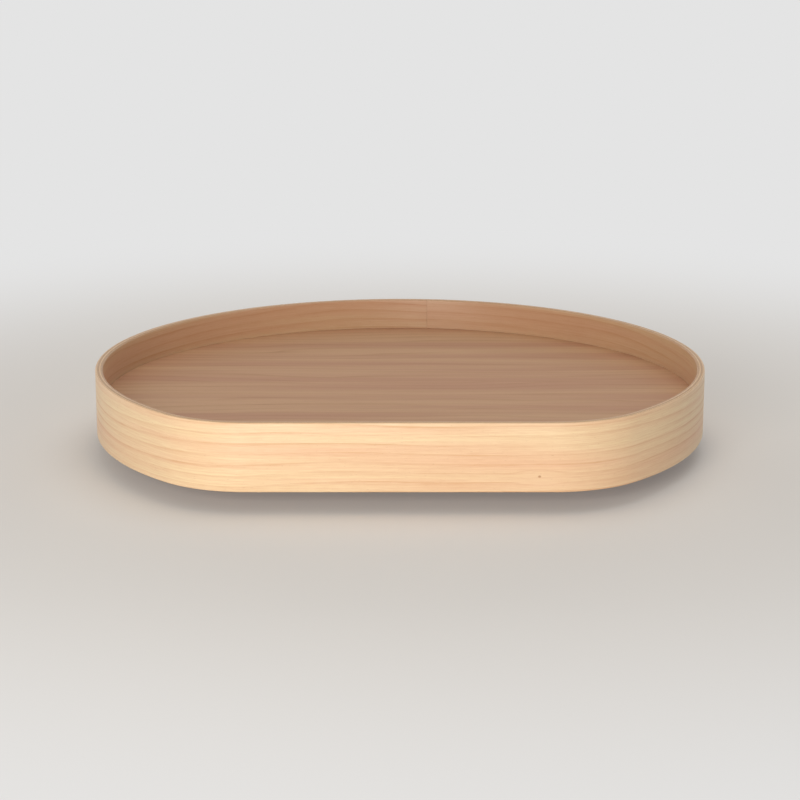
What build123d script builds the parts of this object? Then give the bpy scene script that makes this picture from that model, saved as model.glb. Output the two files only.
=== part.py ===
from build123d import *
from math import radians, sqrt, tan
import os

os.makedirs("parts", exist_ok=True)

# D-shaped lazy susan: a plywood tray with a bent wooden rim, turning on a
# caged ball bearing over a fixed base disc. Millimetres, +Z up. The origin is
# on the turning axis, in the underside of the base disc. The straight front of
# the D faces -Y.

# Tray outline
tray_radius = 279.4
flat_offset = 226.0
corner_radius = 100.0

# Bent rim, glued round the edge of the floor
rim_thickness = 7.0
rim_edge_radius = 1.5
wall_height = 30.0
skirt_depth = 12.0
groove_depth = 2.5
glue_gap = 0.1
scarf_length = 56.0
scarf_gap = 0.2
scarf_nib = 2.0
scarf_overrun = 2.0

# Plywood floor and base disc
floor_thickness = 18.0
base_thickness = 18.0
base_setback = 3.0
base_chamfer = 1.5

# Ball bearing between the fixed inner ring and the turning outer ring
ball_radius = 3.175
ball_count = 24
ball_circle_radius = 95.0
ring_height = 11.0
ring_offset = 1.0
ring_gap = 3.4
inner_ring_width = 23.0
outer_ring_width = 22.0
race_clearance = 0.25
ring_chamfer = 0.8
cage_thickness = 1.6
cage_height = 9.0
pocket_clearance = 0.2
pocket_mouth = 5.0

# Countersunk wood screws with a square recess
screw_shank_radius = 2.0
screw_head_radius = 4.1
screw_head_angle = 82.0
screw_point_length = 3.5
screw_bite = 13.0
screw_count = 6
screw_edge_distance = 11.0
recess_side = 2.6
recess_depth = 1.6
hole_clearance = 0.15
pilot_clearance = 0.05
pilot_extra = 0.5

# Countersunk rivets that hold the two halves of the outer ring together
rivet_shank_radius = 1.6
rivet_head_radius = 3.0
rivet_head_angle = 90.0

# Flanged threaded inserts for the bolts that come up from below
insert_count = 4
insert_circle_radius = 55.0
insert_bore_radius = 2.5
insert_body_radius = 4.9
insert_flange_radius = 6.5
insert_flange_thickness = 1.2
insert_length = 13.0

# Levels, from the underside of the base disc upwards
inner_ring_top = base_thickness + ring_height
outer_ring_bottom = base_thickness + ring_offset
floor_bottom = outer_ring_bottom + ring_height
rim_bottom = floor_bottom - skirt_depth
rim_height = skirt_depth + floor_thickness + wall_height
ball_level = base_thickness + (ring_height + ring_offset) / 2

# Radii of the bearing, from the ball circle inwards and outwards
race_radius = ball_radius + race_clearance
inner_ring_outer_radius = ball_circle_radius - ring_gap / 2
inner_ring_bore_radius = inner_ring_outer_radius - inner_ring_width
outer_ring_inner_radius = ball_circle_radius + ring_gap / 2
outer_ring_outer_radius = outer_ring_inner_radius + outer_ring_width
base_radius = inner_ring_outer_radius - base_setback
base_screw_circle_radius = inner_ring_bore_radius + screw_edge_distance
tray_screw_circle_radius = outer_ring_outer_radius - screw_edge_distance

# Rivets and inserts stand half a step round from the screws
half_turn_angle = 180.0
rivet_start_angle = half_turn_angle / screw_count
insert_start_angle = half_turn_angle / insert_count

# Plane that looks down, for what is drilled or driven upwards
underside = Plane.XY.rotated((half_turn_angle, 0, 0))


def d_outline(inset):
    """The D of the tray, drawn in by inset all round."""
    with BuildSketch() as outline:
        Circle(tray_radius - inset)
        with Locations((0, inset - flat_offset)):
            Rectangle(
                2 * tray_radius,
                tray_radius,
                align=(Align.CENTER, Align.MAX),
                mode=Mode.SUBTRACT,
            )
        fillet(outline.vertices(), corner_radius - inset)
    return outline.sketch


def countersunk_screw(length):
    """Wood screw that points down -Z, with the top of its head at the origin."""
    head_depth = (screw_head_radius - screw_shank_radius) / tan(radians(screw_head_angle / 2))
    with BuildPart() as screw:
        with BuildSketch(Plane.XZ):
            with BuildLine():
                Polyline(
                    (0, 0),
                    (screw_head_radius, 0),
                    (screw_shank_radius, -head_depth),
                    (screw_shank_radius, screw_point_length - length),
                    (0, -length),
                    close=True,
                )
            make_face()
        revolve(axis=Axis.Z)
        with BuildSketch():
            Rectangle(recess_side, recess_side)
        extrude(amount=-recess_depth, mode=Mode.SUBTRACT)
    return screw.part


def ring_blank(inner_radius, outer_radius, bottom):
    """Turned bearing ring with chamfered corners and the ball race cut into it."""
    with BuildPart() as blank:
        with BuildSketch(Plane.XZ) as profile:
            with Locations((inner_radius, bottom)):
                Rectangle(
                    outer_radius - inner_radius,
                    ring_height,
                    align=(Align.MIN, Align.MIN),
                )
            chamfer(profile.vertices(), ring_chamfer)
            with Locations((ball_circle_radius, ball_level)):
                Circle(race_radius, mode=Mode.SUBTRACT)
        revolve(axis=Axis.Z)
    return blank.part


# Fixed base disc, held by bolts that come up from below
with BuildPart() as base_disc:
    with BuildSketch():
        Circle(base_radius)
    extrude(amount=base_thickness)
    chamfer(base_disc.edges().filter_by(GeomType.CIRCLE), base_chamfer)
    with Locations(Plane.XY.offset(base_thickness)):
        with PolarLocations(base_screw_circle_radius, screw_count):
            Hole(screw_shank_radius + pilot_clearance, depth=screw_bite + pilot_extra)
    with Locations(underside):
        with PolarLocations(insert_circle_radius, insert_count, insert_start_angle):
            CounterBoreHole(
                radius=insert_body_radius + pilot_clearance,
                counter_bore_radius=insert_flange_radius + pilot_clearance,
                counter_bore_depth=insert_flange_thickness,
                depth=insert_length + pilot_extra,
            )
base_disc.part.label = "base_disc"
export_step(base_disc.part, "parts/base_disc.step")

# Inserts that the bolts from below screw into
with BuildPart() as base_inserts:
    with BuildSketch():
        with PolarLocations(insert_circle_radius, insert_count, insert_start_angle):
            Circle(insert_body_radius)
    extrude(amount=insert_length)
    with BuildSketch():
        with PolarLocations(insert_circle_radius, insert_count, insert_start_angle):
            Circle(insert_flange_radius)
    extrude(amount=insert_flange_thickness)
    with Locations(underside):
        with PolarLocations(insert_circle_radius, insert_count, insert_start_angle):
            Hole(insert_bore_radius)
base_inserts.part.label = "base_inserts"
export_step(base_inserts.part, "parts/base_inserts.step")

# Fixed inner ring of the bearing, with the ball race round its outside
with BuildPart() as inner_ring:
    add(ring_blank(inner_ring_bore_radius, inner_ring_outer_radius, base_thickness))
    with Locations(Plane.XY.offset(inner_ring_top)):
        with PolarLocations(base_screw_circle_radius, screw_count):
            CounterSinkHole(
                radius=screw_shank_radius + hole_clearance,
                counter_sink_radius=screw_head_radius + hole_clearance,
                counter_sink_angle=screw_head_angle,
            )
inner_ring.part.label = "inner_ring"
export_step(inner_ring.part, "parts/inner_ring.step")

# Screws down through the inner ring into the base disc
with BuildPart(Plane.XY.offset(inner_ring_top)) as inner_ring_screws:
    with PolarLocations(base_screw_circle_radius, screw_count):
        add(countersunk_screw(ring_height + screw_bite))
inner_ring_screws.part.label = "inner_ring_screws"
export_step(inner_ring_screws.part, "parts/inner_ring_screws.step")

# Balls in the race between the two rings
with BuildPart(Plane.XY.offset(ball_level)) as bearing_balls:
    with PolarLocations(ball_circle_radius, ball_count):
        Sphere(ball_radius)
bearing_balls.part.label = "bearing_balls"
export_step(bearing_balls.part, "parts/bearing_balls.step")

# One pocket of the cage: a hole for the ball, open upwards through a mouth
# narrower than the ball, so that the ball snaps in
with BuildPart() as cage_pocket:
    with BuildSketch(Plane.YZ.offset(ball_circle_radius)):
        with Locations((0, ball_level)):
            Circle(ball_radius + pocket_clearance)
            Rectangle(pocket_mouth, cage_height, align=(Align.CENTER, Align.MIN))
    extrude(amount=cage_thickness, both=True)

# Crown cage that keeps the balls apart
with BuildPart() as ball_cage:
    with BuildSketch(Plane.XY.offset(ball_level)):
        Circle(ball_circle_radius + cage_thickness / 2)
        Circle(ball_circle_radius - cage_thickness / 2, mode=Mode.SUBTRACT)
    extrude(amount=cage_height / 2, both=True)
    with PolarLocations(0, ball_count):
        add(cage_pocket.part, mode=Mode.SUBTRACT)
ball_cage.part.label = "ball_cage"
export_step(ball_cage.part, "parts/ball_cage.step")

# Turning outer ring, split level with the balls so that they can go in.
# The lower half carries the heads of the tray screws and one rivet head each.
outer_ring_blank = ring_blank(outer_ring_inner_radius, outer_ring_outer_radius, outer_ring_bottom)

with BuildPart() as outer_ring_lower:
    add(outer_ring_blank)
    split(bisect_by=Plane.XY.offset(ball_level), keep=Keep.BOTTOM)
    with Locations(underside.offset(-outer_ring_bottom)):
        with PolarLocations(tray_screw_circle_radius, screw_count):
            CounterSinkHole(
                radius=screw_shank_radius + hole_clearance,
                counter_sink_radius=screw_head_radius + hole_clearance,
                counter_sink_angle=screw_head_angle,
            )
        with PolarLocations(tray_screw_circle_radius, screw_count, rivet_start_angle):
            CounterSinkHole(
                radius=rivet_shank_radius + pilot_clearance,
                counter_sink_radius=rivet_head_radius + pilot_clearance,
                counter_sink_angle=rivet_head_angle,
            )
outer_ring_lower.part.label = "outer_ring_lower"
export_step(outer_ring_lower.part, "parts/outer_ring_lower.step")

with BuildPart() as outer_ring_upper:
    add(outer_ring_blank)
    split(bisect_by=Plane.XY.offset(ball_level), keep=Keep.TOP)
    with Locations(Plane.XY.offset(floor_bottom)):
        with PolarLocations(tray_screw_circle_radius, screw_count):
            Hole(screw_shank_radius + hole_clearance)
        with PolarLocations(tray_screw_circle_radius, screw_count, rivet_start_angle):
            CounterSinkHole(
                radius=rivet_shank_radius + pilot_clearance,
                counter_sink_radius=rivet_head_radius + pilot_clearance,
                counter_sink_angle=rivet_head_angle,
            )
outer_ring_upper.part.label = "outer_ring_upper"
export_step(outer_ring_upper.part, "parts/outer_ring_upper.step")

# One rivet, with a flush head at each end
rivet_head_depth = (rivet_head_radius - rivet_shank_radius) / tan(radians(rivet_head_angle / 2))
with BuildPart() as rivet:
    with BuildSketch(Plane.XZ):
        with BuildLine():
            Polyline(
                (0, 0),
                (rivet_head_radius, 0),
                (rivet_shank_radius, rivet_head_depth),
                (rivet_shank_radius, ring_height - rivet_head_depth),
                (rivet_head_radius, ring_height),
                (0, ring_height),
                close=True,
            )
        make_face()
    revolve(axis=Axis.Z)

with BuildPart(Plane.XY.offset(outer_ring_bottom)) as ring_rivets:
    with PolarLocations(tray_screw_circle_radius, screw_count, rivet_start_angle):
        add(rivet.part)
ring_rivets.part.label = "ring_rivets"
export_step(ring_rivets.part, "parts/ring_rivets.step")

# Screws up through the outer ring into the floor of the tray
with BuildPart(underside.offset(-outer_ring_bottom)) as tray_screws:
    with PolarLocations(tray_screw_circle_radius, screw_count):
        add(countersunk_screw(ring_height + screw_bite))
tray_screws.part.label = "tray_screws"
export_step(tray_screws.part, "parts/tray_screws.step")

# Plywood floor of the tray, its edge let into the groove of the rim
with BuildPart() as floor_panel:
    with BuildSketch(Plane.XY.offset(floor_bottom)):
        add(d_outline(rim_thickness - groove_depth + glue_gap))
    extrude(amount=floor_thickness)
    with Locations(underside.offset(-floor_bottom)):
        with PolarLocations(tray_screw_circle_radius, screw_count):
            Hole(screw_shank_radius + pilot_clearance, depth=screw_bite + pilot_extra)
floor_panel.part.label = "floor_panel"
export_step(floor_panel.part, "parts/floor_panel.step")

# Bent rim: one strip round the floor, its ends glued together at the back in
# a long slanted lap, which has a blunt nib at each face of the strip
scarf_outer_y = sqrt(tray_radius**2 - (scarf_length / 2) ** 2)
scarf_inner_y = sqrt((tray_radius - rim_thickness) ** 2 - (scarf_length / 2) ** 2)

with BuildPart() as rim_band:
    with BuildSketch(Plane.XY.offset(rim_bottom)):
        add(d_outline(0))
        add(d_outline(rim_thickness), mode=Mode.SUBTRACT)
    extrude(amount=rim_height)
    fillet(rim_band.edges().group_by(Axis.Z)[-1], rim_edge_radius)
    fillet(rim_band.edges().group_by(Axis.Z)[0], rim_edge_radius)
    with BuildSketch(Plane.XY.offset(floor_bottom - glue_gap)):
        add(d_outline(rim_thickness - groove_depth))
    extrude(amount=floor_thickness + 2 * glue_gap, mode=Mode.SUBTRACT)
    with BuildSketch(Plane.XY.offset(rim_bottom)):
        with BuildLine():
            Polyline(
                (-scarf_length / 2, scarf_outer_y + scarf_overrun),
                (-scarf_length / 2, scarf_outer_y - scarf_nib),
                (scarf_length / 2, scarf_inner_y + scarf_nib),
                (scarf_length / 2, scarf_inner_y - scarf_overrun),
            )
        trace(line_width=scarf_gap)
    extrude(amount=rim_height, mode=Mode.SUBTRACT)
rim_band.part.label = "rim_band"
export_step(rim_band.part, "parts/rim_band.step")
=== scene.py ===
"""Looks of a D-shaped lazy susan: a tray that turns on a fixed base.

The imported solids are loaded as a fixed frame, in metres. The turning axis is
+Z, the underside of the base disc lies at z = 0 and the straight front of the
tray faces -Y. The floor, the base and the bearing keep their solids and get
their finishes. The bent rim and the threaded fasteners are modelled again,
with the grain and the threads that the solids leave out.
"""

import logging
import math
from collections.abc import Callable, Mapping
from dataclasses import dataclass
from enum import Enum
from functools import partial
from typing import Any

import bmesh
import bpy
from mathutils import Euler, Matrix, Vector


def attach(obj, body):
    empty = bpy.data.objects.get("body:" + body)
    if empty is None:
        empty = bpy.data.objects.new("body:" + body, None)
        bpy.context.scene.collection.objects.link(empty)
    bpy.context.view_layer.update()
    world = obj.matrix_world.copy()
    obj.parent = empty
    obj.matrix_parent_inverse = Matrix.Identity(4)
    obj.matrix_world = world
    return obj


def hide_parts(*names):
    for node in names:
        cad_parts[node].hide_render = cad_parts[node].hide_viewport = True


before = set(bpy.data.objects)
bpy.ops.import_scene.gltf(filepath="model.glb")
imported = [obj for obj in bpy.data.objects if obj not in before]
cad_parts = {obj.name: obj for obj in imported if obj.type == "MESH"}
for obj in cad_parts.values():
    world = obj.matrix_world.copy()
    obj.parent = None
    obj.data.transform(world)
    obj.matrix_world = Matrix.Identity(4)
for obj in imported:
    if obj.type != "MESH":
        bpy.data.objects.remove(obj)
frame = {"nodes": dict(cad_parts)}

Node = bpy.types.Node
Piece = bpy.types.Object
Add = Callable[..., Node]
Pair = tuple[float, float]
Point = tuple[float, float, float]

LOG = logging.getLogger("lazy_susan")
MM = 0.001
TURN = 2 * math.pi
# points that lie nearer than this are one point
TOUCH = 0.001 * MM
# edges that turn less than this look round
ROUND_ANGLE = math.radians(30)


class Body(Enum):
    """Bodies that the new pieces move with."""

    BASE = "base"
    TRAY = "tray"


class Pick(Enum):
    """What a selection in edit mode is made of."""

    POINTS = "VERT"
    EDGES = "EDGE"
    FACES = "FACE"


def linear(code: str) -> tuple[float, float, float, float]:
    """Turns an sRGB colour into the linear colour that the nodes take.

    Args:
        code: six hex digits, red, green and blue.

    Returns:
        Linear red, green and blue, and an alpha of 1.
    """
    parts = [int(code[i:i + 2], 16) / 255 for i in (0, 2, 4)]
    red, green, blue = (p / 12.92 if p <= 0.04045 else ((p + 0.055) / 1.055) ** 2.4 for p in parts)
    return red, green, blue, 1.0


def add_node(tree: bpy.types.NodeTree, kind: str, *inputs: Any, **settings: Any) -> Node:
    """Adds one node with its settings and its links.

    Args:
        tree: node tree of the material or the world.
        kind: the node's type, without the ShaderNode that all types start with.
        *inputs: what the inputs in use get, in their order or, in one dict, by
            their names. A node or a socket is linked and anything else is the
            input's value.
        **settings: the node's own settings.

    Returns:
        The new node.
    """
    node = tree.nodes.new("ShaderNode" + kind)
    for name, value in settings.items():
        setattr(node, name, value)
    used = [s for s in node.inputs if s.enabled]
    given = inputs[0] if inputs and isinstance(inputs[0], dict) else dict(enumerate(inputs))
    for key, value in given.items():
        socket = used[key] if isinstance(key, int) else next(s for s in used if s.name == key)
        if isinstance(value, Node):
            value = next(s for s in value.outputs if s.enabled)
        if isinstance(value, bpy.types.NodeSocket):
            tree.links.new(value, socket)
        else:
            socket.default_value = value
    return node


def emptied(owner: bpy.types.Material | bpy.types.World) -> Add:
    """Empties the node tree of a material or a world.

    Args:
        owner: the material or the world.

    Returns:
        The function that adds a node to its tree.
    """
    owner.use_nodes = True
    owner.node_tree.nodes.clear()
    return partial(add_node, owner.node_tree)


# Finishes


@dataclass(frozen=True)
class Finish:
    """One real material, and how its surface was made."""

    name: str

    def make(self) -> bpy.types.Material:
        """Makes the material with its nodes.

        Returns:
            The material.
        """
        material = bpy.data.materials.new(self.name)
        add = emptied(material)
        add("OutputMaterial", self.shade(add))
        return material

    def shade(self, add: Add) -> Node:
        """Adds the nodes of the surface.

        Args:
            add: adds a node to the material.

        Returns:
            The shader node of the surface.
        """
        raise NotImplementedError


@dataclass(frozen=True)
class Relief:
    """Fine relief of a surface: bumps, and the heights that change the gloss."""

    low: float
    high: float
    strength: float
    depth: float

    def felt(self, add: Add, height: Node, roughness: Pair) -> dict[str, Node]:
        """Adds the bumps and the gloss.

        Args:
            add: adds a node to the material.
            height: height of the relief.
            roughness: roughness where it is low and where it is high.

        Returns:
            What the shader's Roughness and Normal get.
        """
        ends = {"From Min": self.low, "From Max": self.high, "To Min": roughness[0], "To Max": roughness[1]}
        return {
            "Roughness": add("MapRange", {"Value": height, **ends}),
            "Normal": add("Bump", {"Strength": self.strength, "Distance": self.depth, "Height": height}),
        }


@dataclass(frozen=True)
class Streaks:
    """Soft streaks along the grain, each with a length and a width.

    They are noise with values near a half. Their mask goes from the weakest to
    the strongest where the noise goes from low to high.
    """

    length: float
    width: float
    detail: float = 2.0
    low: float = 0.3
    high: float = 0.7
    weakest: float = 0.0
    strongest: float = 1.0
    soft: bool = False

    def draw(self, add: Add, place: Node) -> tuple[Node, Node]:
        """Adds the nodes of the streaks.

        Args:
            add: adds a node to the material.
            place: vector of the place along and across the grain.

        Returns:
            The noise and the mask.
        """
        step = add("VectorMath", place, (1 / self.length, 1 / self.width, 1), operation="MULTIPLY")
        noise = add("TexNoise", {"Vector": step, "Scale": 1.0, "Detail": self.detail, "Roughness": 0.55})
        ends = {"From Min": self.low, "From Max": self.high, "To Min": self.weakest, "To Max": self.strongest}
        edge = "SMOOTHSTEP" if self.soft else "LINEAR"
        return noise, add("MapRange", {"Value": noise, **ends}, interpolation_type=edge)


@dataclass(frozen=True)
class PinKnot:
    """Pin knot at a place in the leaf: a small dark core that the rings bow round."""

    along: float
    across: float
    core: Pair = (1.6 * MM, 1.2 * MM)
    pull: Pair = (17 * MM, 6 * MM)

    def draw(self, add: Add, place: Node, shift: Node) -> tuple[Node, Node]:
        """Bows the rings, up above the knot and down below it, and draws the core.

        Args:
            add: adds a node to the material.
            place: vector of the place along and across the grain.
            shift: how far the rings are shifted so far, in rings.

        Returns:
            The new shift, and the mask of the core.
        """
        gap = add("VectorMath", place, (-self.along, -self.across, 0), operation="ADD")
        sizes = (self.pull, self.core)
        ways = [add("VectorMath", gap, (1 / x, 1 / y, 0), operation="MULTIPLY") for x, y in sizes]
        reach, near = (add("VectorMath", way, operation="LENGTH").outputs["Value"] for way in ways)
        bow = add(
            "MapRange", {"Value": reach, "From Min": 0.0, "From Max": 2.0, "To Min": 0.9, "To Max": 0.0},
            interpolation_type="SMOOTHERSTEP",
        )
        above = add("SeparateXYZ", ways[0]).outputs["Y"]
        push = add("Math", above, bow, operation="MULTIPLY")
        mask = add(
            "MapRange", {"Value": near, "From Min": 0.4, "From Max": 1.1, "To Min": 0.75, "To Max": 0.0},
            interpolation_type="SMOOTHSTEP",
        )
        return add("Math", shift, push, operation="SUBTRACT"), mask


@dataclass(frozen=True)
class Figure:
    """Figure of one leaf of sliced maple: long wavy rings, streaks and flecks.

    The two ground colours drift into each other in bands of a few
    centimetres, as heartwood and sapwood do. The higher its value, the
    thinner is the late wood of a ring.
    """

    cream: str = "f8e2bb"
    pink: str = "f3ceac"
    ring: str = "d69d6b"
    fleck: str = "b17a4c"
    ring_pitch: float = 8.5 * MM
    ring_wander: float = 12 * MM
    ring_strength: float = 0.6
    late_wood: float = 5.0
    knots: tuple[PinKnot, ...] = ()
    drift: Streaks = Streaks(600 * MM, 30 * MM, low=0.36, high=0.64, soft=True)
    fine: Streaks = Streaks(80 * MM, 1.6 * MM, detail=4.0, strongest=0.3)
    # real fibres are 0.1 mm wide, drawn 0.4 mm wide so that they show
    fibres: Streaks = Streaks(14 * MM, 0.4 * MM, detail=3.0, low=0.35, weakest=-0.08, strongest=0.2)
    flecks: Streaks = Streaks(3.2 * MM, 0.5 * MM, detail=1.0, low=0.68, high=0.78, strongest=0.4)

    def rings(self, add: Add, place: Node, across: Any) -> tuple[Node, list[Node]]:
        """Adds the rings, which wander across the leaf and fade in and out.

        Args:
            add: adds a node to the material.
            place: vector of the place along and across the grain.
            across: place across the grain.

        Returns:
            How dark the rings are, and the masks of the knots.
        """
        reach = self.ring_wander / self.ring_pitch
        wander = Streaks(330 * MM, 90 * MM, detail=1.5, low=0.0, high=1.0, weakest=-reach, strongest=reach)
        fade = Streaks(260 * MM, 16 * MM, low=0.35, high=0.65, weakest=0.1, strongest=self.ring_strength)
        shift = wander.draw(add, place)[1]
        knots = []
        for knot in self.knots:
            shift, mask = knot.draw(add, place, shift)
            knots.append(mask)
        steps = add("Math", across, 1 / self.ring_pitch, shift, operation="MULTIPLY_ADD")
        part = add("Math", steps, operation="FRACT")
        # each ring darkens slowly towards the late wood and then stops short
        late = add("Math", part, self.late_wood, operation="POWER")
        stop = add("MapRange", {"Value": part, "From Min": 0.93, "To Min": 1.0, "To Max": 0.0})
        dark = add("Math", late, stop, operation="MULTIPLY")
        return add("Math", dark, fade.draw(add, place)[1], operation="MULTIPLY"), knots

    def draw(self, add: Add, along: Any, across: Any, leaf: Any) -> tuple[Node, Node]:
        """Adds the nodes that draw the figure.

        Args:
            add: adds a node to the material.
            along: place along the grain.
            across: place across the grain.
            leaf: a number that differs from leaf to leaf.

        Returns:
            The colour, and the height of the grain from 0 to 1.
        """
        place = add("CombineXYZ", along, across, leaf)
        rings, knots = self.rings(add, place, across)
        fibres, thread = self.fibres.draw(add, place)
        drift, fine, flecks = (each.draw(add, place)[1] for each in (self.drift, self.fine, self.flecks))
        lines = add("Math", rings, fine, operation="ADD")
        darker = add("Math", lines, thread, operation="ADD", use_clamp=True)
        specks = [(mask, self.fleck) for mask in (flecks, *knots)]
        colour = linear(self.cream)
        for mask, tint in ((drift, self.pink), (darker, self.ring), *specks):
            colour = add("Mix", mask, colour, linear(tint), data_type="RGBA")
        return colour, add("Math", fibres, rings, operation="SUBTRACT")


@dataclass(frozen=True)
class LacqueredPlywood(Finish):
    """Maple plywood under a thin clear satin lacquer.

    The faces show one sliced leaf each. The edges show the plies, long grain
    and end grain in turn, with a thin dark glue line between them. Lacquer
    gives a soft broad sheen, and leaves the fibres just felt.
    """

    figure: Figure = Figure()
    thickness: float = 18 * MM
    ply: float = 1.4 * MM
    face: float = 0.6 * MM
    pore_length: float = 5 * MM
    pore_height: float = 0.3 * MM
    long_grain: str = "dfb98a"
    end_grain: str = "b98d5e"
    glue: str = "8a6340"
    glue_width: float = 0.06
    glue_strength: float = 0.7
    roughness: Pair = (0.49, 0.37)
    relief: Relief = Relief(low=0.2, high=0.8, strength=0.25, depth=0.05 * MM)
    coat: float = 0.2
    # tint multiplied over the far face's colour as a painted shade; white paints none
    far_face_painted_shade: str = "ffffff"
    # step in the noise from leaf to leaf, so that no two have the same figure
    leaf_step: float = 7.3

    def grain(self, add: Add) -> tuple[Any, Any, Any, Any]:
        """Adds the nodes that say where a point is in the sheet.

        Args:
            add: adds a node to the material.

        Returns:
            Place along the grain, across it, depth from one face, and the
            number of the leaf.
        """
        raise NotImplementedError

    def plies(self, add: Add, along: Any, across: Any, depth: Any) -> Node:
        """Adds the plies of an edge, counted from under the face leaf.

        Args:
            add: adds a node to the material.
            along: place along the grain.
            across: place across the grain.
            depth: depth from one face.

        Returns:
            The colour of the edge.
        """
        inside = self.thickness - 2 * self.face
        pitch = inside / round(inside / self.ply)
        below = add("Math", depth, -self.face, operation="ADD")
        layer = add("Math", below, 1 / pitch, operation="MULTIPLY")
        odd = add("Math", add("Math", layer, operation="FLOOR"), 2.0, operation="FLOORED_MODULO")
        place = add("CombineXYZ", along, across, depth)
        size = (1 / self.pore_length, 1 / self.pore_length, 1 / self.pore_height)
        step = add("VectorMath", place, size, operation="MULTIPLY")
        pores = add("TexNoise", {"Vector": step, "Scale": 1.0, "Detail": 3.0})
        ends = {"From Min": 0.3, "From Max": 0.7, "To Min": -0.35, "To Max": 0.35}
        uneven = add("MapRange", {"Value": pores, **ends})
        shade = add("Math", odd, uneven, operation="ADD", use_clamp=True)
        colour = add("Mix", shade, linear(self.long_grain), linear(self.end_grain), data_type="RGBA")
        to_joint = add("Math", layer, 0.5, operation="PINGPONG")
        joint = add("Math", to_joint, self.glue_width, operation="LESS_THAN")
        glued = add("Math", joint, self.glue_strength, operation="MULTIPLY")
        return add("Mix", glued, colour, linear(self.glue), data_type="RGBA")

    def shade(self, add: Add) -> Node:
        """Adds the leaves, the plies, a painted shade on the far face and the lacquer.

        Args:
            add: adds a node to the material.

        Returns:
            The shader node of the surface.
        """
        along, across, depth, leaf = self.grain(add)
        middle = self.thickness / 2
        far = add("Math", depth, middle, operation="GREATER_THAN")
        number = add("Math", leaf, self.leaf_step, far, operation="MULTIPLY_ADD")
        colour, height = self.figure.draw(add, along, across, number)
        # the far face gets a painted shade, multiplied over its own figure
        tone = linear(self.far_face_painted_shade)
        colour = add("Mix", far, colour, tone, data_type="RGBA", blend_type="MULTIPLY")
        plies = self.plies(add, along, across, depth)
        inside = add("Math", depth, middle, middle - self.face, operation="COMPARE")
        colour = add("Mix", inside, colour, plies, data_type="RGBA")
        lacquer = {"IOR": 1.5, "Coat Weight": self.coat, "Coat Roughness": 0.3}
        felt = self.relief.felt(add, height, self.roughness)
        return add("BsdfPrincipled", {"Base Color": colour, **felt, **lacquer})


@dataclass(frozen=True)
class PanelPlywood(LacqueredPlywood):
    """Plywood of a flat panel, whose plies lie level.

    A face is laid up from leaves side by side, each with its own figure.
    """

    bottom: float = 0.0
    turn: float = 0.0
    leaf_width: float = 165 * MM
    leaf_start: float = 38 * MM

    def grain(self, add: Add) -> tuple[Any, Any, Any, Any]:
        """Takes the grain along X, turned about Z, and the depth from z.

        Args:
            add: adds a node to the material.

        Returns:
            Place along the grain, across it, depth, and the number of the leaf.
        """
        place = add("TexCoord").outputs["Object"]
        turned = add("Mapping", {"Vector": place, "Rotation": (0, 0, self.turn)})
        split = add("SeparateXYZ", turned)
        depth = add("Math", split.outputs["Z"], -self.bottom, operation="ADD")
        across = split.outputs["Y"]
        moved = add("Math", across, -self.leaf_start, operation="ADD")
        share = add("Math", moved, 1 / self.leaf_width, operation="MULTIPLY")
        return split.outputs["X"], across, depth, add("Math", share, operation="FLOOR")


@dataclass(frozen=True)
class BentPlywood(LacqueredPlywood):
    """Plywood of the bent rim, whose plies follow the bend.

    The map named grain holds the place along and across the strip, and the
    attribute named depth the distance from its outer face.
    """

    def grain(self, add: Add) -> tuple[Any, Any, Any, Any]:
        """Takes the grain along the strip, which is one leaf.

        Args:
            add: adds a node to the material.

        Returns:
            Place along the grain, across it, depth, and the number of the leaf.
        """
        split = add("SeparateXYZ", add("UVMap", uv_map="grain"))
        depth = add("Attribute", attribute_name="depth").outputs["Fac"]
        return split.outputs["X"], split.outputs["Y"], depth, 0.0


@dataclass(frozen=True)
class TurnedMetal(Finish):
    """Aluminium faced on a lathe about the turning axis, then anodised.

    The tool leaves fine rings round the axis, which draw the light out into
    two soft fans. Anodising dulls them to a satin.
    """

    colour: str = "d9dbdd"
    dull: str = "bfc2c6"
    roughness: Pair = (0.42, 0.29)
    relief: Relief = Relief(low=0.25, high=0.75, strength=0.2, depth=0.02 * MM)
    # feed of the tool, 0.15 mm on the real one, drawn wider so that it shows
    feed: float = 0.6 * MM
    cloud_size: float = 25 * MM

    def shade(self, add: Add) -> Node:
        """Adds the rings and the satin metal.

        Args:
            add: adds a node to the material.

        Returns:
            The shader node of the surface.
        """
        place = add("TexCoord").outputs["Object"]
        flat = add("VectorMath", place, (1, 1, 0), operation="MULTIPLY")
        radius = add("VectorMath", flat, operation="LENGTH").outputs["Value"]
        high = add("SeparateXYZ", place).outputs["Z"]
        reach = add("Math", radius, high, operation="SUBTRACT")
        turns = add("Math", reach, 1 / self.feed, operation="MULTIPLY")
        lines = add("TexNoise", {"W": turns, "Scale": 1.0, "Detail": 2.0}, noise_dimensions="1D")
        cloud = add("TexNoise", {"Vector": place, "Scale": 1 / self.cloud_size, "Detail": 2.0})
        tone = add("Math", lines, 0.5, cloud, operation="MULTIPLY_ADD")
        bright = add("MapRange", {"Value": tone, "From Min": 0.45, "From Max": 1.05})
        colour = add("Mix", bright, linear(self.dull), linear(self.colour), data_type="RGBA")
        felt = self.relief.felt(add, lines, self.roughness)
        return add("BsdfPrincipled", {"Base Color": colour, "Metallic": 1.0, **felt})


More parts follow.
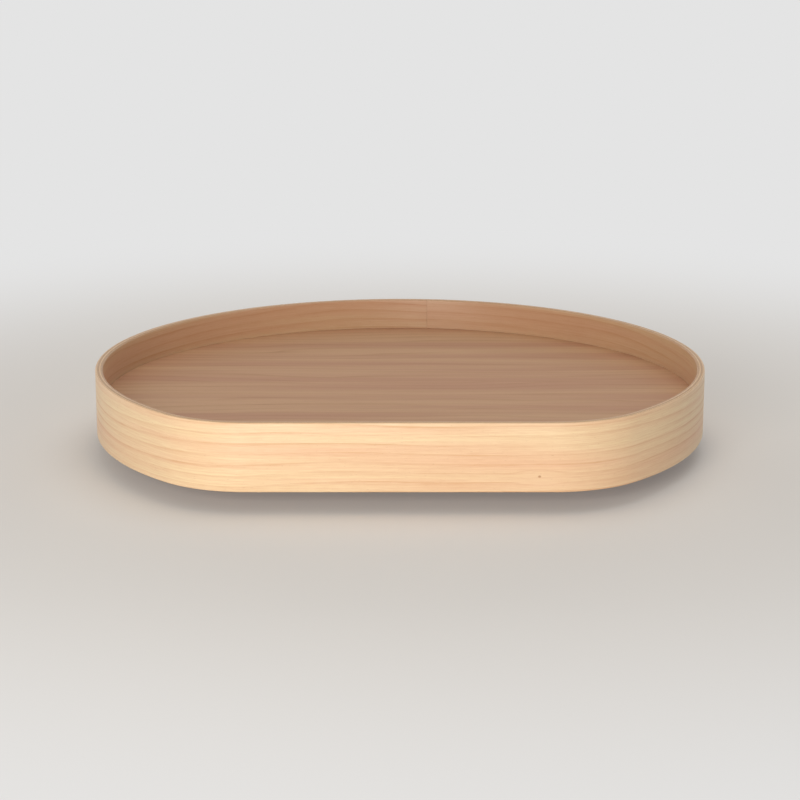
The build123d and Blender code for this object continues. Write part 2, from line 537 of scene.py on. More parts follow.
@dataclass(frozen=True)
class PlatedSteel(Finish):
    """Steel with a thin plated coat, cold formed or ground before it.

    Plating follows the metal below it, so the colour is even with faint
    clouds, and small handling marks break the gloss.
    """

    colour: str = "d4d6d8"
    cloud: str = "b4b8bd"
    roughness: Pair = (0.225, 0.39)
    relief: Relief = Relief(low=0.3, high=0.7, strength=0.12, depth=0.02 * MM)
    cloud_size: float = 4 * MM
    grit: float = 0.9 * MM

    def shade(self, add: Add) -> Node:
        """Adds the clouds, the marks and the metal.

        Args:
            add: adds a node to the material.

        Returns:
            The shader node of the surface.
        """
        place = add("TexCoord").outputs["Object"]
        clouds = add("TexNoise", {"Vector": place, "Scale": 1 / self.cloud_size, "Detail": 2.0})
        marks = add("TexNoise", {"Vector": place, "Scale": 1 / self.grit, "Detail": 4.0})
        tone = add("MapRange", {"Value": clouds, "From Min": 0.35, "From Max": 0.65})
        colour = add("Mix", tone, linear(self.cloud), linear(self.colour), data_type="RGBA")
        felt = self.relief.felt(add, marks, self.roughness)
        return add("BsdfPrincipled", {"Base Color": colour, "Metallic": 1.0, **felt})


@dataclass(frozen=True)
class MouldedNylon(Finish):
    """Natural nylon, injection moulded.

    It is milky and lets a little light in, with the fine satin of a spark
    eroded mould and faint flow marks.
    """

    colour: str = "ece6d6"
    flow: str = "d9d0ba"
    roughness: Pair = (0.42, 0.58)
    relief: Relief = Relief(low=0.0, high=1.0, strength=0.15, depth=0.03 * MM)
    flow_size: float = 9 * MM
    grit: float = 0.35 * MM
    light_depth: float = 1.5 * MM

    def shade(self, add: Add) -> Node:
        """Adds the flow marks, the satin and the milky depth.

        Args:
            add: adds a node to the material.

        Returns:
            The shader node of the surface.
        """
        place = add("TexCoord").outputs["Object"]
        flow = {"Scale": 1 / self.flow_size, "Detail": 2.0, "Distortion": 1.2}
        marks = add("TexNoise", {"Vector": place, **flow})
        tone = add("MapRange", {"Value": marks, "From Min": 0.35, "From Max": 0.7})
        colour = add("Mix", tone, linear(self.colour), linear(self.flow), data_type="RGBA")
        satin = add("TexNoise", {"Vector": place, "Scale": 1 / self.grit, "Detail": 1.0})
        felt = self.relief.felt(add, satin, self.roughness)
        milky = {"IOR": 1.53, "Subsurface Weight": 0.15, "Subsurface Scale": self.light_depth}
        return add("BsdfPrincipled", {"Base Color": colour, **felt, **milky})


# Modelling


class Workpiece:
    """A mesh that is shaped in edit mode, its parts selected by their place."""

    def __init__(self, name: str) -> None:
        """Takes the primitive that was just added and opens it in edit mode.

        Args:
            name: name of the piece and of its mesh.
        """
        self.piece = bpy.context.view_layer.objects.active
        self.piece.name = self.piece.data.name = name
        bpy.ops.object.transform_apply(location=True, rotation=True, scale=True)
        bpy.ops.object.mode_set(mode="EDIT")
        bpy.ops.mesh.select_mode(type=Pick.POINTS.value)

    @staticmethod
    def clear() -> None:
        """Leaves nothing selected, so that a new primitive stands alone."""
        if bpy.context.object and bpy.context.object.mode != "OBJECT":
            bpy.ops.object.mode_set(mode="OBJECT")
        bpy.ops.object.select_all(action="DESELECT")

    @classmethod
    def line(cls, name: str, points: list[Pair]) -> "Workpiece":
        """Draws an open line in the plane y = 0, point by point.

        Args:
            name: name of the piece.
            points: distance from the Z axis and height of each point.

        Returns:
            The line, in edit mode with all of it selected.
        """
        cls.clear()
        bpy.ops.mesh.primitive_plane_add(size=MM, location=(points[0][0], 0, points[0][1]))
        work = cls(name)
        bpy.ops.mesh.select_all(action="SELECT")
        bpy.ops.mesh.merge(type="CENTER")
        for (x0, z0), (x1, z1) in zip(points, points[1:]):
            bpy.ops.mesh.extrude_vertices_move(TRANSFORM_OT_translate={"value": (x1 - x0, 0, z1 - z0)})
        bpy.ops.mesh.select_all(action="SELECT")
        return work

    @classmethod
    def lathe(cls, name: str, points: list[Pair], facets: int) -> "Workpiece":
        """Turns a line round the Z axis.

        Args:
            name: name of the piece.
            points: distance from the Z axis and height of each point.
            facets: number of facets in the full turn.

        Returns:
            The turned shape, in edit mode.
        """
        work = cls.line(name, points)
        bpy.ops.mesh.spin(steps=facets, angle=TURN, center=(0, 0, 0), axis=(0, 0, 1))
        return work

    def helix(self, pitch: float, turns: int, steps: int) -> None:
        """Sweeps the line round the Z axis, up by the pitch in each turn."""
        self.modify(
            "SCREW", angle=TURN, screw_offset=pitch, iterations=turns, steps=steps, render_steps=steps
        )

    @staticmethod
    def extrude(x: float = 0.0, y: float = 0.0, z: float = 0.0) -> None:
        """Extrudes the selected edges by a straight step."""
        bpy.ops.mesh.extrude_edges_move(TRANSFORM_OT_translate={"value": (x, y, z)})

    @staticmethod
    def cut(place: Point, normal: Point, trim: bool = False) -> None:
        """Cuts all of the mesh at a plane, and where told trims what its normal points to."""
        bpy.ops.mesh.select_all(action="SELECT")
        bpy.ops.mesh.bisect(plane_co=place, plane_no=normal, clear_outer=trim, threshold=TOUCH)

    @staticmethod
    def merge() -> None:
        """Makes one point of those that touch."""
        bpy.ops.mesh.select_all(action="SELECT")
        bpy.ops.mesh.remove_doubles(threshold=TOUCH)

    def join(self, *others: "Workpiece") -> None:
        """Joins other pieces into this one where they touch, in edit mode.

        Args:
            *others: the other pieces.
        """
        self.clear()
        for work in (self, *others):
            work.piece.select_set(True)
        bpy.context.view_layer.objects.active = self.piece
        bpy.ops.object.join()
        bpy.ops.object.mode_set(mode="EDIT")
        self.merge()

    def pick(self, kind: Pick, test: Callable[[Vector], bool] = lambda centre: True) -> None:
        """Selects the points, edges or faces whose middle passes a test.

        Args:
            kind: what is selected.
            test: takes the middle and says whether it is selected.
        """
        bpy.ops.mesh.select_mode(type=kind.value)
        bpy.ops.mesh.select_all(action="DESELECT")
        shape = bmesh.from_edit_mesh(self.piece.data)
        parts = {Pick.POINTS: shape.verts, Pick.EDGES: shape.edges, Pick.FACES: shape.faces}[kind]
        for part in parts:
            corners = [part] if kind is Pick.POINTS else part.verts
            if test(sum((v.co for v in corners), Vector()) / len(corners)):
                part.select_set(True)
        shape.select_flush_mode()
        bmesh.update_edit_mesh(self.piece.data)

    def face_off(self, level: float, reach: float) -> None:
        """Fills the face at a level between its two loops of edges within a radius."""
        self.pick(Pick.EDGES, lambda c: abs(c.z - level) < TOUCH and math.hypot(c.x, c.y) < reach)
        bpy.ops.mesh.fill(use_beauty=True)

    def modify(self, kind: str, **settings: Any) -> None:
        """Adds a modifier in object mode and applies it.

        Args:
            kind: type of the modifier.
            **settings: the modifier's settings.
        """
        bpy.ops.object.mode_set(mode="OBJECT")
        modifier = self.piece.modifiers.new(kind.title(), kind)
        for name, value in settings.items():
            setattr(modifier, name, value)
        bpy.ops.object.modifier_apply(modifier=modifier.name)

    def close(self) -> Piece:
        """Merges doubles, turns the faces outwards and ends edit mode.

        Returns:
            The finished piece.
        """
        bpy.ops.object.mode_set(mode="EDIT")
        self.merge()
        bpy.ops.mesh.normals_make_consistent(inside=False)
        bpy.ops.object.mode_set(mode="OBJECT")
        bpy.ops.object.shade_smooth_by_angle(angle=ROUND_ANGLE)
        return self.piece


@dataclass(frozen=True)
class Outline:
    """Outer outline of the D, and places along and into the strip bent round it."""

    radius: float = 279.4 * MM
    flat_offset: float = 226 * MM
    corner_radius: float = 100 * MM
    thickness: float = 7 * MM

    @property
    def corner(self) -> Vector:
        """Centre of the right corner's arc."""
        y = self.corner_radius - self.flat_offset
        return Vector((math.sqrt((self.radius - self.corner_radius) ** 2 - y * y), y, 0))

    @property
    def back_angle(self) -> float:
        """Angle of the back arc, from the middle of the back to a corner's arc."""
        return math.pi / 2 + math.atan2(-self.corner.y, self.corner.x)

    @property
    def corner_angle(self) -> float:
        """Angle of a corner's arc."""
        return math.pi - self.back_angle

    @property
    def half_length(self) -> float:
        """Measures the strip's middle line from the middle of the front to that of the back.

        Returns:
            Half of the strip's length.
        """
        skin = self.thickness / 2
        round_corner = (self.corner_radius - skin) * self.corner_angle
        return self.corner.x + round_corner + (self.radius - skin) * self.back_angle

    def depth(self, point: Vector) -> float:
        """Measures how deep in the strip a point lies.

        Args:
            point: a point in the strip.

        Returns:
            Its distance from the outer face.
        """
        x, y = abs(point.x), point.y
        if math.atan2(x, y) <= self.back_angle:
            return self.radius - math.hypot(x, y)
        if x <= self.corner.x:
            return y + self.flat_offset
        return self.corner_radius - math.hypot(x - self.corner.x, y - self.corner.y)

    def along(self, point: Vector, right_end: bool) -> float:
        """Place of a point along the strip, from the middle of the front.

        Args:
            point: a point in the strip.
            right_end: whether it belongs to the end that comes from the right.

        Returns:
            The distance along the strip's middle, positive to the right.
        """
        skin = self.thickness / 2
        turn = math.atan2(point.x, point.y)
        if abs(turn) <= self.back_angle:
            return (self.half_length if right_end else -self.half_length) - (self.radius - skin) * turn
        if abs(point.x) <= self.corner.x:
            return point.x
        turn = math.atan2(abs(point.x) - self.corner.x, self.corner.y - point.y)
        return math.copysign(self.corner.x + (self.corner_radius - skin) * turn, point.x)


@dataclass(frozen=True)
class BentRim:
    """Rim bent from one strip of plywood, glued at the back in a long lap."""

    outline: Outline = Outline()
    bottom: float = 18 * MM
    top: float = 78 * MM
    edge_radius: float = 1.5 * MM
    edge_steps: int = 5
    groove_bottom: float = 29.9 * MM
    groove_top: float = 48.1 * MM
    groove_depth: float = 2.5 * MM
    back_steps: int = 68
    corner_steps: int = 24
    lap_length: float = 56 * MM
    lap_nib: float = 2 * MM
    lap_gap: float = 0.2 * MM
    blade_overrun: float = 2 * MM
    # the inner face is another leaf, so it takes its figure from further across
    inner_leaf: float = 310 * MM
    finish: Finish = BentPlywood(
        name="bent_maple_plywood",
        thickness=7 * MM,
        # painted shade, multiplied over the inner face of the rim
        far_face_painted_shade="d2c8c2",
        figure=Figure(
            ring_strength=0.7,
            knots=(PinKnot(116 * MM, 32 * MM), PinKnot(-430 * MM, 58 * MM), PinKnot(640 * MM, 36 * MM)),
        ),
    )

    def profile(self) -> Workpiece:
        """Shapes the section of the strip, with its groove and rounded edges.

        Returns:
            The section as a closed line, all selected.
        """
        out, thick = self.outline.radius, self.outline.thickness
        place = (0, out - thick / 2, (self.bottom + self.top) / 2)
        Workpiece.clear()
        bpy.ops.mesh.primitive_plane_add(size=1, location=place, rotation=(0, math.pi / 2, 0))
        bpy.context.object.scale = (self.top - self.bottom, thick, 1)
        work = Workpiece("bent_rim")
        groove = out - thick + self.groove_depth
        work.cut((0, 0, self.groove_bottom), (0, 0, 1))
        work.cut((0, 0, self.groove_top), (0, 0, 1))
        work.cut((0, groove, 0), (0, 1, 0))
        work.pick(Pick.FACES, lambda c: c.y < groove and self.groove_bottom < c.z < self.groove_top)
        bpy.ops.mesh.delete(type="FACE")
        bpy.ops.mesh.select_all(action="SELECT")
        bpy.ops.mesh.dissolve_limited(angle_limit=math.radians(1))
        work.pick(Pick.POINTS, lambda c: min(abs(c.z - end) for end in (self.bottom, self.top)) < TOUCH)
        bpy.ops.mesh.bevel(offset=self.edge_radius, segments=self.edge_steps, affect="VERTICES")
        work.pick(Pick.FACES)
        bpy.ops.mesh.delete(type="ONLY_FACE")
        work.pick(Pick.POINTS)
        return work

    def bend(self, work: Workpiece) -> None:
        """Carries the section round the D, from the back to the right and home.

        Args:
            work: the section, all selected.
        """
        line = self.outline
        x, y, _ = line.corner
        back = (line.back_angle, self.back_steps, (0, 0, 0))
        right = (line.corner_angle, self.corner_steps, (x, y, 0))
        left = (line.corner_angle, self.corner_steps, (-x, y, 0))
        for angle, steps, centre in (back, right):
            bpy.ops.mesh.spin(steps=steps, angle=angle, center=centre, axis=(0, 0, 1))
        work.extrude(x=-2 * x)
        for angle, steps, centre in (left, back):
            bpy.ops.mesh.spin(steps=steps, angle=angle, center=centre, axis=(0, 0, 1))

    def _lap_ends(self) -> Pair:
        """Places both ends of the slanted glue line.

        Returns:
            Their y, the outer end first.
        """
        half = self.lap_length / 2
        outer = math.sqrt(self.outline.radius ** 2 - half ** 2) - self.lap_nib
        inner = math.sqrt((self.outline.radius - self.outline.thickness) ** 2 - half ** 2) + self.lap_nib
        return outer, inner

    def lap(self, point: Vector) -> bool:
        """Says which end of the strip a point is in.

        Args:
            point: a point in the strip.

        Returns:
            Whether it lies outside the glue line, so in the end that comes from the right.
        """
        half = self.lap_length / 2
        if abs(point.x) > half:
            return point.x > 0
        outer, inner = self._lap_ends()
        return point.y > outer + (inner - outer) * (point.x + half) / self.lap_length

    def cut_lap(self, work: Workpiece) -> None:
        """Saws the lap through the strip with a blade as thick as the glue line.

        Args:
            work: the bent strip.
        """
        outer, inner = self._lap_ends()
        run, rise = self.lap_length, inner - outer
        place = (0, (outer + inner) / 2, (self.bottom + self.top) / 2)
        turn = (math.pi / 2, 0, math.atan2(rise, run))
        Workpiece.clear()
        bpy.ops.mesh.primitive_plane_add(size=1, location=place, rotation=turn)
        height = self.top - self.bottom + 2 * self.blade_overrun
        bpy.context.object.scale = (math.hypot(run, rise), height, 1)
        blade = Workpiece("lap_blade")
        for side in (-1, 1):
            blade.pick(Pick.EDGES, lambda c, side=side: c.x * side > run / 2 - TOUCH)
            blade.extrude(y=-side * (self.lap_nib + self.blade_overrun))
        blade.modify("SOLIDIFY", thickness=self.lap_gap, offset=0, use_even_offset=True)
        Workpiece.clear()
        work.piece.select_set(True)
        bpy.context.view_layer.objects.active = work.piece
        work.modify("BOOLEAN", operation="DIFFERENCE", solver="EXACT", object=blade.piece)
        bpy.data.objects.remove(blade.piece)

    def map_grain(self, piece: Piece) -> None:
        """Writes where each corner of the finished rim lies along, across and into the strip.

        Args:
            piece: the finished rim.
        """
        mesh = piece.data
        line = self.outline
        depth = mesh.attributes.new("depth", "FLOAT", "POINT")
        for i, vertex in enumerate(mesh.vertices):
            depth.data[i].value = min(max(line.depth(vertex.co), 0.0), line.thickness)
        while mesh.uv_layers:
            mesh.uv_layers.remove(mesh.uv_layers[0])
        grain = mesh.uv_layers.new(name="grain")
        for face in mesh.polygons:
            centre = Vector(face.center)
            right_end = self.lap(centre)
            leaf = self.inner_leaf if line.depth(centre) > line.thickness / 2 else 0.0
            for corner in face.loop_indices:
                point = mesh.vertices[mesh.loops[corner].vertex_index].co
                grain.data[corner].uv = (line.along(point, right_end), point.z + leaf)

    def build(self) -> Piece:
        """Builds, dresses and seats the rim.

        Returns:
            The rim.
        """
        work = self.profile()
        self.bend(work)
        work.close()
        self.cut_lap(work)
        piece = work.close()
        self.map_grain(piece)
        return seat(piece, Body.TRAY, "rim_band", self.finish)


@dataclass(frozen=True)
class BoltCircle:
    """Circle of fasteners round the turning axis, no two driven home alike."""

    count: int
    radius: float
    level: float
    start: float = 0.0
    upwards: bool = False
    drive_step: float = 0.185 * TURN

    def fill(self, model: Piece) -> Piece:
        """Copies a fastener round the circle and joins the copies.

        Args:
            model: the fastener, its own axis on Z and its head at the origin.

        Returns:
            One object of all the copies.
        """
        name = model.name
        copies = []
        for step in range(self.count):
            Workpiece.clear()
            model.select_set(True)
            bpy.context.view_layer.objects.active = model
            bpy.ops.object.duplicate()
            copies.append(bpy.context.object)
            for setting, value in (
                ("rotation_euler", (math.pi if self.upwards else 0.0, 0, step * self.drive_step)),
                ("location", (self.radius, 0, self.level)),
                ("rotation_euler", (0, 0, self.start + step * TURN / self.count)),
            ):
                setattr(copies[-1], setting, value)
                bpy.ops.object.transform_apply(location=True, rotation=True, scale=True)
        bpy.data.objects.remove(model)
        Workpiece.clear()
        for copy in copies:
            copy.select_set(True)
        bpy.context.view_layer.objects.active = copies[0]
        bpy.ops.object.join()
        copies[0].name = copies[0].data.name = name
        return copies[0]


@dataclass(frozen=True)
class Thread:
    """Screw thread between two radii.

    Each point of its tooth is at the inner (0) or the outer (1) radius, at a
    height that is a share of the pitch.
    """

    inner: float
    outer: float
    pitch: float
    tooth: tuple[tuple[int, float], ...]

    def section(self, start: float) -> list[Pair]:
        """Gives the radius and the height of each point of one tooth."""
        return [((self.inner, self.outer)[out], start + share * self.pitch) for out, share in self.tooth]

    def wall(self, name: str, low: float, high: float, steps: int) -> Workpiece:
        """Models a threaded wall, cut off square at both ends.

        Args:
            name: name of the wall.
            low: lower end of the wall.
            high: upper end of the wall.
            steps: steps of the thread in one turn.

        Returns:
            The wall, in edit mode.
        """
        # the sweep starts and ends beyond the wall at every angle
        start = low - 1.5 * self.pitch
        work = Workpiece.line(name, self.section(start))
        work.helix(self.pitch, math.ceil((high - start) / self.pitch) + 1, steps)
        bpy.ops.object.mode_set(mode="EDIT")
        work.merge()
        work.cut((0, 0, low), (0, 0, -1), trim=True)
        work.cut((0, 0, high), (0, 0, 1), trim=True)
        return work


@dataclass(frozen=True)
class WoodScrew:
    """Countersunk wood screw with a square recess, a plain neck and a sharp thread."""

    length: float = 24 * MM
    head_radius: float = 4.1 * MM
    head_angle: float = 82.0
    head_land: float = 0.2 * MM
    head_chamfer: float = 0.15 * MM
    neck_radius: float = 2.0 * MM
    neck_length: float = 9 * MM
    neck_taper: float = 0.5 * MM
    root_radius: float = 1.4 * MM
    # a ridge of its own, sunk 0.1 mm into the core
    thread: Thread = Thread(1.3 * MM, 2.0 * MM, 1.8 * MM, ((0, 0.0), (1, 0.35), (0, 0.6), (0, 0.0)))
    thread_steps: int = 20
    point_length: float = 4.5 * MM
    recess_side: float = 2.6 * MM
    recess_depth: float = 1.6 * MM
    recess_taper: float = 0.86
    recess_point: float = 0.25 * MM
    facets: int = 32

    def _thread(self) -> Workpiece:
        """Models the core and the thread on it, both drawn in to the point.

        Returns:
            The core with its thread.
        """
        start, reach = -self.point_length, self.length - self.neck_length
        line = [(self.root_radius, z) for z in (start, 0.0, start + reach)]
        core = Workpiece.lathe("screw_core", line, self.facets)
        edge = Workpiece.line("screw_edge", self.thread.section(start))
        top = max(share for _, share in self.thread.tooth)
        edge.helix(self.thread.pitch, int(reach / self.thread.pitch - top), self.thread_steps)
        core.join(edge)
        bpy.ops.mesh.select_non_manifold()
        bpy.ops.mesh.fill_holes(sides=3)
        point = (0, self.point_length / reach)
        core.modify("SIMPLE_DEFORM", deform_method="TAPER", deform_axis="Z", factor=1.0, limits=point)
        return core

    def _recess(self, name: str) -> Workpiece:
        """Models the square recess, drawn in and pointed at its bottom.

        Args:
            name: name of the piece.

        Returns:
            The recess, in edit mode.
        """
        Workpiece.clear()
        bpy.ops.mesh.primitive_plane_add(size=self.recess_side, location=(0, 0, 0))
        recess = Workpiece(name)
        bpy.ops.mesh.select_all(action="SELECT")
        bpy.ops.mesh.subdivide(number_cuts=self.facets // 4 - 1)
        half = self.recess_side / 2
        recess.pick(Pick.POINTS, lambda c: max(abs(c.x), abs(c.y)) < half - TOUCH)
        bpy.ops.mesh.delete(type="VERT")
        bpy.ops.mesh.select_all(action="SELECT")
        recess.extrude(z=-self.recess_depth)
        taper = (self.recess_taper, self.recess_taper, 1)
        bpy.ops.transform.resize(value=taper, center_override=(0, 0, -self.recess_depth))
        bpy.ops.mesh.edge_face_add()
        bpy.ops.mesh.poke(offset=-self.recess_point)
        return recess

    def model(self, name: str) -> Piece:
        """Models the screw, pointing down from the top of its head at the origin.

        Args:
            name: name of the piece.

        Returns:
            The screw.
        """
        recess = self._recess(name)
        cone = (self.head_radius - self.neck_radius) / math.tan(math.radians(self.head_angle / 2))
        line = [
            (self.head_radius - self.head_chamfer, 0),
            (self.head_radius, -self.head_land),
            (self.neck_radius, -cone),
            (self.neck_radius, self.neck_taper - self.neck_length),
            (self.root_radius, -self.neck_length),
        ]
        neck = Workpiece.lathe("screw_neck", line, self.facets)
        thread = self._thread()
        thread.piece.location.z = self.point_length - self.length
        recess.join(neck, thread)
        recess.face_off(0.0, self.head_radius)
        return recess.close()


@dataclass(frozen=True)
class ThreadedInsert:
    """Flanged insert with a coarse thread outside, a fine one inside and a hex mouth."""

    length: float = 13 * MM
    flange_radius: float = 6.5 * MM
    flange_thickness: float = 1.2 * MM
    flange_chamfer: float = 0.3 * MM
    flange_step: float = 0.1 * MM
    outside: Thread = Thread(
        4.1 * MM, 4.9 * MM, 2.5 * MM, ((0, 0.0), (0, 0.5), (1, 0.7), (1, 0.8), (0, 1.0))
    )
    inside: Thread = Thread(2.5 * MM, 2.95 * MM, 1.0 * MM, ((0, 0.0), (0, 0.15), (1, 0.55), (0, 1.0)))
    mouth_radius: float = 3.5 * MM
    mouth_depth: float = 3.5 * MM
    facets: int = 24

    def model(self, name: str) -> Piece:
        """Models the insert, standing up from the face of its flange at the origin.

        Args:
            name: name of the piece.

        Returns:
            The insert.
        """
        Workpiece.clear()
        bpy.ops.mesh.primitive_circle_add(vertices=6, radius=self.mouth_radius, location=(0, 0, 0))
        mouth = Workpiece(name)
        bpy.ops.mesh.select_all(action="SELECT")
        bpy.ops.mesh.subdivide(number_cuts=self.facets // 6 - 1)
        bpy.ops.mesh.select_all(action="SELECT")
        mouth.extrude(z=self.mouth_depth)
        rim, chamfer, thick = self.flange_radius, self.flange_chamfer, self.flange_thickness
        edge = self.outside.outer + self.flange_step
        line = [(rim - chamfer, 0), (rim, chamfer), (rim, thick), (edge, thick)]
        flange = Workpiece.lathe("insert_flange", line, self.facets)
        outside = self.outside.wall("insert_outside", thick, self.length, self.facets)
        inside = self.inside.wall("insert_inside", self.mouth_depth, self.length, self.facets)
        mouth.join(flange, outside, inside)
        mouth.face_off(0.0, rim)
        mouth.face_off(self.mouth_depth, self.mouth_radius)
        mouth.face_off(thick, edge + self.flange_step)
        mouth.face_off(self.length, rim)
        return mouth.close()


# Assemblies


def dress(nodes: Mapping[str, Piece], finish: Finish, *names: str) -> None:
    """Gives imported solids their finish.

    Args:
        nodes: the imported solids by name.
        finish: the finish that they share.
        *names: the solids that keep their shape and get it.
    """
    material = finish.make()
    for name in names:
        for slot in nodes[name].material_slots:
            slot.material = material
        LOG.info("%s: %s", name, finish.name)


def seat(piece: Piece, body: Body, node: str, finish: Finish) -> Piece:
    """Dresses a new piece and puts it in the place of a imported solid.

    Args:
        piece: the new piece.
        body: the body that it moves with.
        node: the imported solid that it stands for.
        finish: its finish.

    Returns:
        The piece.
    """
    piece.data.materials.clear()
    piece.data.materials.append(finish.make())
    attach(piece, body.value)
    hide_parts(node)
    LOG.info("%s: %d faces, %s", piece.name, len(piece.data.polygons), finish.name)
    return piece


@dataclass(frozen=True)
class TurningTray:
    """Tray that turns: the floor, its rim and the outer ring screwed up into it."""

    rim: BentRim = BentRim()
    screw: WoodScrew = WoodScrew()
    screws: BoltCircle = BoltCircle(count=6, radius=107.7 * MM, level=19 * MM, upwards=True)
    floor_finish: Finish = PanelPlywood(
        name="maple_plywood_floor_painted_shade",
        bottom=30 * MM,
        roughness=(0.65, 0.53),
        coat=0.05,
        figure=Figure(
            # the floor's own maple colours, made darker by painted shade
            cream="cfa780", pink="c29373", ring="a97959", fleck="8b6145",
            ring_pitch=15 * MM, ring_wander=40 * MM,
        ),
    )
    ring_finish: Finish = TurnedMetal("anodised_turned_aluminium")
    screw_finish: Finish = PlatedSteel("zinc_plated_steel")

    def build(self, nodes: Mapping[str, Piece]) -> None:
        """Builds the rim and the screws and dresses the solids of the tray.

        Args:
            nodes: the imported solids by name.
        """
        self.rim.build()
        screws = self.screws.fill(self.screw.model("floor_screws"))
        seat(screws, Body.TRAY, "tray_screws", self.screw_finish)
        dress(nodes, self.floor_finish, "floor_panel")
        dress(nodes, self.ring_finish, "outer_ring_lower", "outer_ring_upper", "ring_rivets")


@dataclass(frozen=True)
class BallRow:
    """Balls and the cage that spaces them."""

    ball_finish: Finish = PlatedSteel(
        "polished_bearing_steel", colour="e2e4e6", cloud="d2d5d9", roughness=(0.0525, 0.091), grit=0.5 * MM
    )
    cage_finish: Finish = MouldedNylon("moulded_nylon")

    def build(self, nodes: Mapping[str, Piece]) -> None:
        """Dresses the balls and their cage."""
        dress(nodes, self.ball_finish, "bearing_balls")
        dress(nodes, self.cage_finish, "ball_cage")


@dataclass(frozen=True)
class FixedBase:
    """Base disc that bolts hold from below, and the inner ring screwed down on it."""

    screw: WoodScrew = WoodScrew()
    screws: BoltCircle = BoltCircle(count=6, radius=81.3 * MM, level=29 * MM)
    insert: ThreadedInsert = ThreadedInsert()
    inserts: BoltCircle = BoltCircle(count=4, radius=55 * MM, level=0.0, start=math.radians(45))
    disc_finish: Finish = PanelPlywood(
        name="birch_plywood_disc",
        turn=math.radians(24),
        roughness=(0.62, 0.5),
        coat=0.0,
        figure=Figure(
            cream="ecd0a4", pink="e0ba8a", ring="c69a68", ring_pitch=22 * MM, ring_wander=40 * MM
        ),
    )
    ring_finish: Finish = TurnedMetal("anodised_turned_aluminium_inner")
    screw_finish: Finish = PlatedSteel("zinc_plated_steel_inner")
    insert_finish: Finish = PlatedSteel(
        "yellow_zinc_insert", colour="d8b765", cloud="c79f58", roughness=(0.2475, 0.429)
    )

    def build(self, nodes: Mapping[str, Piece]) -> None:
        """Builds the screws and the inserts and dresses the solids of the base.

        Args:
            nodes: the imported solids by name.
        """
        screws = self.screws.fill(self.screw.model("inner_ring_wood_screws"))
        seat(screws, Body.BASE, "inner_ring_screws", self.screw_finish)
        inserts = self.inserts.fill(self.insert.model("threaded_inserts"))
        seat(inserts, Body.BASE, "base_inserts", self.insert_finish)
        dress(nodes, self.disc_finish, "base_disc")
        dress(nodes, self.ring_finish, "inner_ring")


# Studio


def turn_to(place: Point, aim: Point) -> Euler:
    """Gives the rotation that points -Z from a place to an aim."""
    return (Vector(aim) - Vector(place)).to_track_quat("-Z", "Y").to_euler()


def seen(add: Add) -> Node:
    """Tells what is seen from light that only falls on something.

    Args:
        add: adds a node to the material or the world.

    Returns:
        A value of 1 where it is seen straight, mirrored or through, and else 0.
    """
    rays = add("LightPath").outputs
    straight = add("Math", rays["Is Camera Ray"], rays["Is Glossy Ray"], operation="MAXIMUM")
    return add("Math", straight, rays["Is Transmission Ray"], operation="MAXIMUM")


@dataclass(frozen=True)
class PalePaper(Finish):
    """Pale matt studio paper, which is seen paler away from the object's shadow."""

    colour: str = "ecebe9"
    backdrop: str = "e4e4e4"
    shadow_reach: Pair = (0.25, 1.15)
    near_share: float = 0.15

    def shade(self, add: Add) -> Node:
        """Adds the matt paper and the pale ground that is seen further out.

        Args:
            add: adds a node to the material.

        Returns:
            The shader node of the surface.
        """
        place = add("TexCoord").outputs["Object"]
        reach = add("VectorMath", place, operation="LENGTH").outputs["Value"]
        near, far = self.shadow_reach
        ends = {"From Min": near, "From Max": far, "To Min": self.near_share, "To Max": 1.0}
        paler = add("MapRange", {"Value": reach, **ends}, interpolation_type="SMOOTHERSTEP")
        share = add("Math", paler, seen(add), operation="MULTIPLY")
        matt = add("BsdfDiffuse", linear(self.colour))
        pale = add("Emission", linear(self.backdrop), 1.0)
        return add("MixShader", share, matt, pale)


@dataclass(frozen=True)
class Lamp:
    """Square soft lamp that points at the tray, its side in metres and its power in watts."""

    name: str
    place: Point
    size: float
    power: float
    tint: str = "fff8ee"
    mirrored: bool = True
    aim: Point = (0.0, 0.0, 0.04)

    def hang(self) -> None:
        """Adds the lamp, which lacquer and metal mirror unless told otherwise."""
        bpy.ops.object.light_add(type="AREA", location=self.place)
        lamp = bpy.context.object
        lamp.name = self.name
        lamp.data.size = self.size
        lamp.data.energy = self.power
        lamp.data.color = linear(self.tint)[:3]
        lamp.visible_glossy = self.mirrored
        lamp.rotation_euler = turn_to(self.place, self.aim)


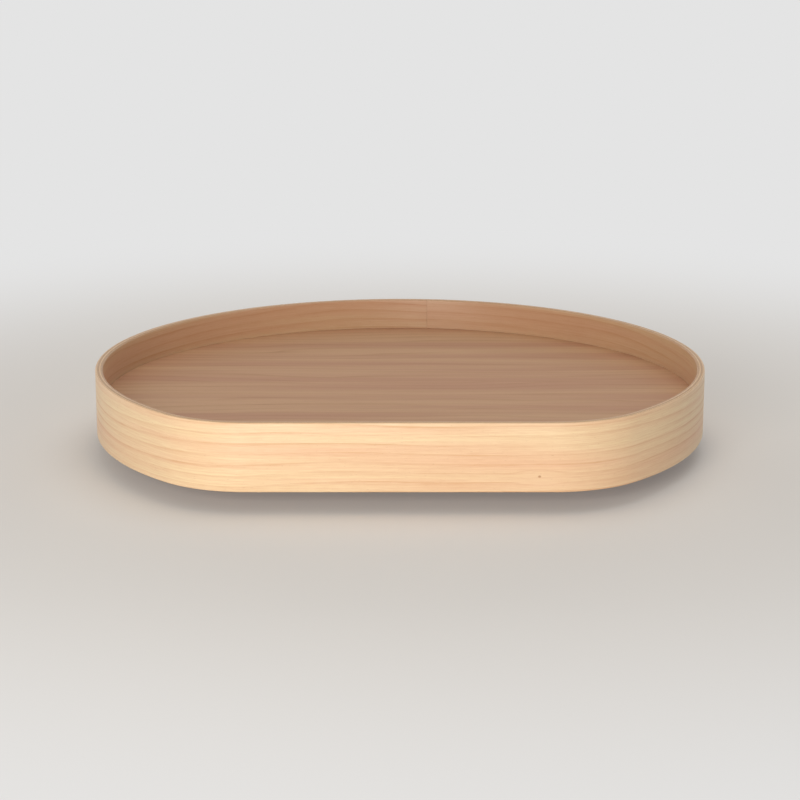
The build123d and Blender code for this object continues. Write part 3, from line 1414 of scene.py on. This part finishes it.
@dataclass(frozen=True)
class Studio:
    """Pale floor, soft lamps and the camera at the photograph's angle."""

    camera_place: Point = (0.0, -1.999, 0.551)
    camera_aim: Point = (0.0, -0.02, 0.045)
    lens: float = 100.0
    sensor: float = 36.0
    view_end: float = 60.0
    paper: PalePaper = PalePaper("pale_paper")
    floor_radius: float = 14.0
    fill: float = 0.33
    fill_tint: str = "fff6ec"
    lamps: tuple[Lamp, ...] = (
        Lamp("key_lamp", place=(-0.5, -1.95, 0.48), size=0.9, power=25.0),
        Lamp("top_lamp", place=(0.4, 0.5, 2.6), size=2.2, power=15.0, tint="ffffff"),
        Lamp("left_back_lamp", place=(-0.9, 2.2, 0.3), size=1.2, power=15.0, mirrored=False),
        Lamp("right_back_lamp", place=(0.9, 2.2, 0.3), size=1.2, power=15.0, mirrored=False),
    )

    def camera(self) -> None:
        """Adds the camera."""
        bpy.ops.object.select_all(action="DESELECT")
        bpy.ops.object.camera_add(location=self.camera_place)
        camera = bpy.context.object
        camera.name = "view_camera"
        camera.rotation_euler = turn_to(self.camera_place, self.camera_aim)
        camera.data.lens = self.lens
        camera.data.sensor_width = self.sensor
        camera.data.clip_end = self.view_end
        bpy.context.scene.camera = camera

    def floor(self) -> None:
        """Adds the round floor."""
        Workpiece.clear()
        bpy.ops.mesh.primitive_circle_add(
            vertices=96, radius=self.floor_radius, fill_type="NGON", location=(0, 0, 0)
        )
        floor = Workpiece("studio_floor").close()
        floor.data.materials.append(self.paper.make())

    def world(self) -> None:
        """Lights from all round, and shows a pale ground behind the object."""
        world = bpy.data.worlds.new("soft_room")
        bpy.context.scene.world = world
        add = emptied(world)
        light = add("Background", linear(self.fill_tint), self.fill)
        sky = add("Background", linear(self.paper.backdrop), 1.0)
        add("OutputWorld", add("MixShader", seen(add), light, sky))

    def build(self) -> None:
        """Builds the floor, the world, the lamps and the camera."""
        bpy.context.scene.view_settings.view_transform = "Standard"
        self.floor()
        self.world()
        for lamp in self.lamps:
            lamp.hang()
        self.camera()
        LOG.info("studio is set")


def main() -> None:
    """Builds the tray, the balls, the base and the studio."""
    logging.basicConfig(level=logging.INFO, format="%(name)s: %(message)s")
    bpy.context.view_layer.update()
    nodes = frame["nodes"]
    for assembly in (TurningTray(), BallRow(), FixedBase()):
        assembly.build(nodes)
    Studio().build()


if __name__ == "__main__":
    main()
